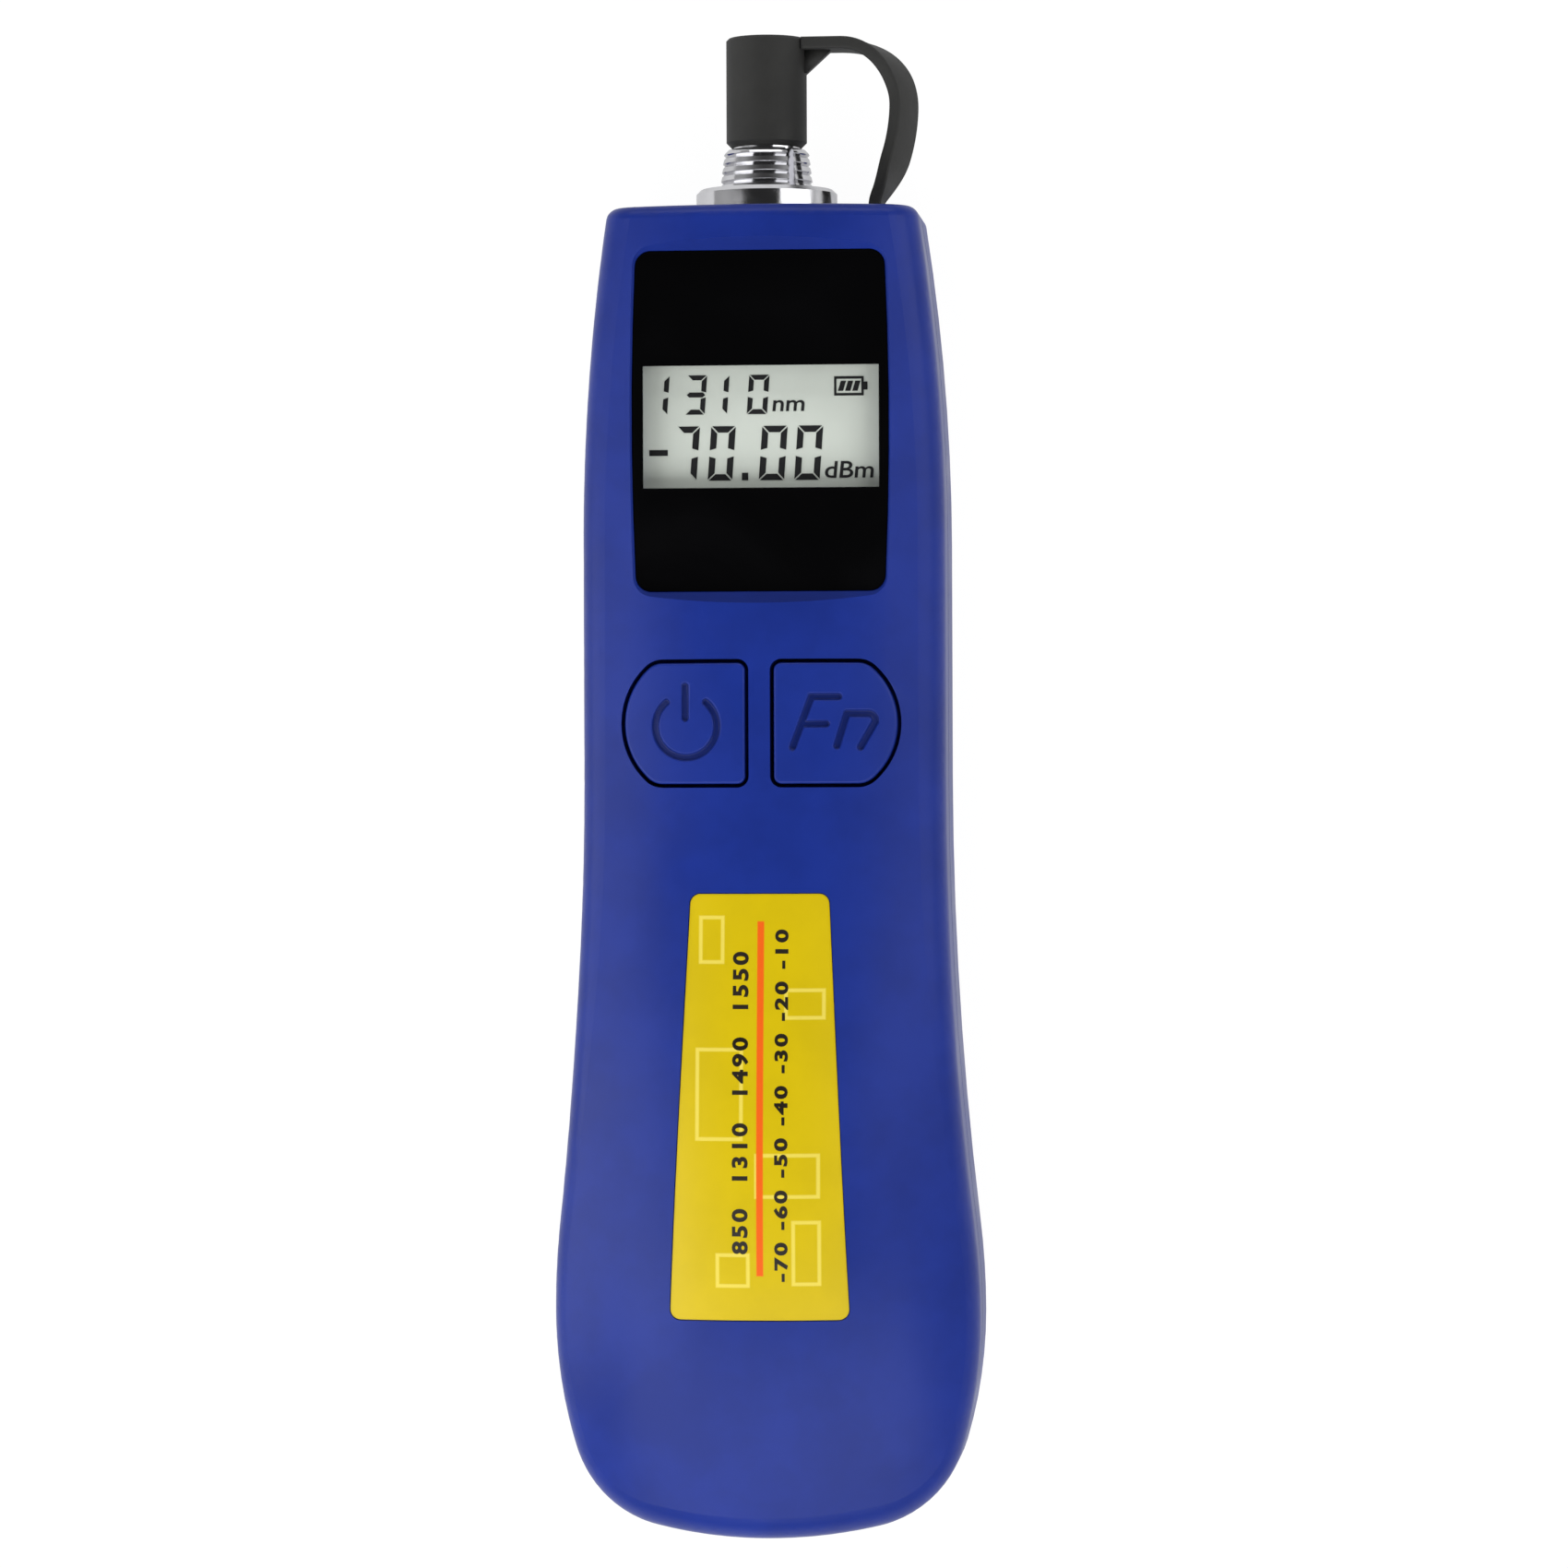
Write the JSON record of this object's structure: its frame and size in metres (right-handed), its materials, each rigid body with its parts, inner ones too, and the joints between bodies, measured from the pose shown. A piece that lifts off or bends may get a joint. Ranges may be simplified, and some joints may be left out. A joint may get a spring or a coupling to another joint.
{
  "type": "optical power meter",
  "caption": "Hand-held optical power meter with display window, push keys, tethered dust cap on a threaded fibre port, and sliding battery door.",
  "frame": {"origin": "on the flat back, on the centre line, half-way along the housing", "axes": "+Y along the meter towards the fibre port, +Z out of the front face with the display, +X to the right as the display is read"},
  "size_m": [0.0506, 0.1779, 0.0295],
  "materials": {
    "blue_housing": "fine moulded texture",
    "blue_keys": "satin",
    "window_black": "gloss",
    "display_grey": "satin",
    "white_plastic": "matt",
    "light_guide": "frosted",
    "strip_rubber": "matt",
    "label_yellow": "satin film",
    "board_green": "satin",
    "chip_black": "matt",
    "spring_metal": "nickel plated",
    "screw_steel": "zinc plated",
    "cell_wrap": "plain printed wrap",
    "port_chrome": "bright",
    "sleeve_ceramic": "smooth",
    "can_gold": "gold plated",
    "cap_rubber": "matt"
  },
  "bodies": {
    "housing": {"front_shell": "blue_housing", "rear_shell": "blue_housing", "display_window": "window_black", "display_glass": "display_grey", "display_holder": "white_plastic", "backlight_panel": "light_guide", "contact_strips": "strip_rubber", "front_label": "label_yellow", "power_switch": "chip_black", "function_switch": "chip_black", "main_board": "board_green", "processor_chip": "chip_black", "amplifier_chip": "chip_black", "board_screws": "screw_steel", "case_screws": "screw_steel", "cell_left": "cell_wrap", "cell_right": "cell_wrap", "bridge_contact": "spring_metal", "negative_contact": "spring_metal", "positive_contact": "spring_metal", "connector_body": "port_chrome", "alignment_sleeve": "sleeve_ceramic", "port_washer": "spring_metal", "port_nut": "screw_steel", "photodiode": "can_gold", "detector_retainer": "chip_black", "cap_strap": "cap_rubber"},
    "power_key": {"power_key": "blue_keys", "power_plunger": "chip_black"},
    "function_key": {"function_key": "blue_keys", "function_plunger": "chip_black"},
    "battery_door": {"battery_door": "blue_housing"},
    "dust_cap": {"dust_cap": "cap_rubber"}
  },
  "joints": [
    {"name": "power_key_press", "type": "slide", "parent": "housing", "child": "power_key", "axis": [0, 0, -1], "range_m": [0, 0.0008], "stiffness_N_per_m": 1500, "springref_m": -0.0005},
    {"name": "function_key_press", "type": "slide", "parent": "housing", "child": "function_key", "axis": [0, 0, -1], "range_m": [0, 0.0008], "stiffness_N_per_m": 1500, "springref_m": -0.0005},
    {"name": "battery_door_slide", "type": "slide", "parent": "housing", "child": "battery_door", "axis": [0, -1, 0], "range_m": [0, 0.052]},
    {"name": "dust_cap_pull", "type": "slide", "parent": "housing", "child": "dust_cap", "axis": [0, 1, 0], "range_m": [0, 0.009], "deforming": ["cap_strap"]}
  ]
}
